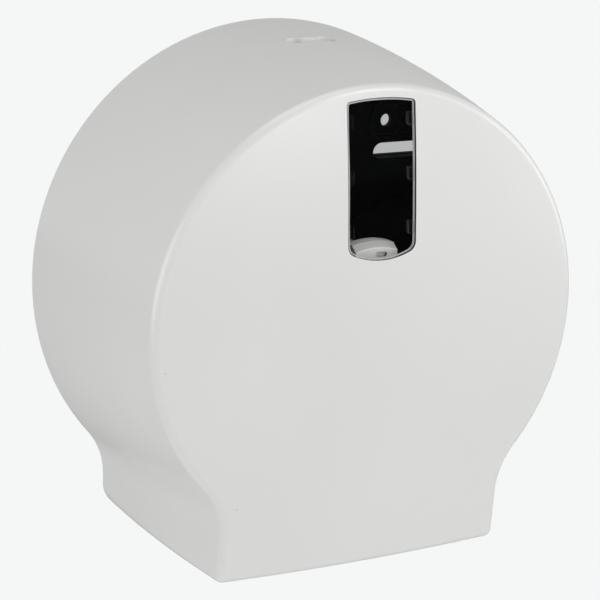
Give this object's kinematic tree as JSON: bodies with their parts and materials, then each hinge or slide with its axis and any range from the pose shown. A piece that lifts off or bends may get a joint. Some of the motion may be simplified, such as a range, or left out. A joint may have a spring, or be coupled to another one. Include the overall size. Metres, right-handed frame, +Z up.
{
  "type": "jumbo roll dispenser",
  "caption": "Round wall dispenser for one jumbo toilet roll: a hinged cover with a window, on a plate with a hub and a key latch.",
  "frame": {"origin": "the point of the wall plane on the hub's axis, at the back face of the back plate", "axes": "+Z up, +Y into the wall and -Y into the room, +X to the right seen from the room"},
  "size_m": [0.27, 0.134, 0.2664],
  "materials": {
    "pearl_abs": "satin, finely grained",
    "clear_pane": "gloss, clear",
    "black_abs": "satin",
    "grey_plastic": "satin",
    "hub_plastic": "satin",
    "latch_plastic": "satin",
    "strip_steel": "brushed",
    "screw_steel": "zinc plated",
    "spring_steel": "drawn wire",
    "brake_rubber": "matte"
  },
  "bodies": {
    "back": {"back_plate": "black_abs", "rear_tear_strip": "strip_steel", "rear_tear_screws": "screw_steel", "spindle_post": "grey_plastic", "spindle_screws": "screw_steel", "brake_washer": "brake_rubber", "hub_washer": "strip_steel", "hub_screw": "screw_steel", "latch_bracket": "black_abs", "latch_bracket_screws": "screw_steel", "latch_spring": "spring_steel", "hinge_pin_left": "screw_steel", "hinge_pin_right": "screw_steel"},
    "cover": {"cover_shell": "pearl_abs", "window_pane": "clear_pane", "front_tear_strip": "strip_steel", "front_tear_screws": "screw_steel"},
    "hub": {"roll_hub": "hub_plastic", "hub_cap": "hub_plastic"},
    "latch": {"latch_bolt": "latch_plastic"}
  },
  "joints": [
    {"name": "cover_hinge", "type": "hinge", "parent": "back", "child": "cover", "pos_m": [0, -0.012, -0.1204], "axis": [1, 0, 0], "range_deg": [0, 90]},
    {"name": "hub_spin", "type": "hinge", "parent": "back", "child": "hub", "pos_m": [0, 0, 0], "axis": [0, 1, 0], "continuous": true},
    {"name": "latch_slide", "type": "slide", "parent": "back", "child": "latch", "axis": [0, 0, -1], "range_m": [0, 0.004], "stiffness_N_per_m": 200, "springref_m": -0.01, "deforming": ["latch_spring"]}
  ]
}
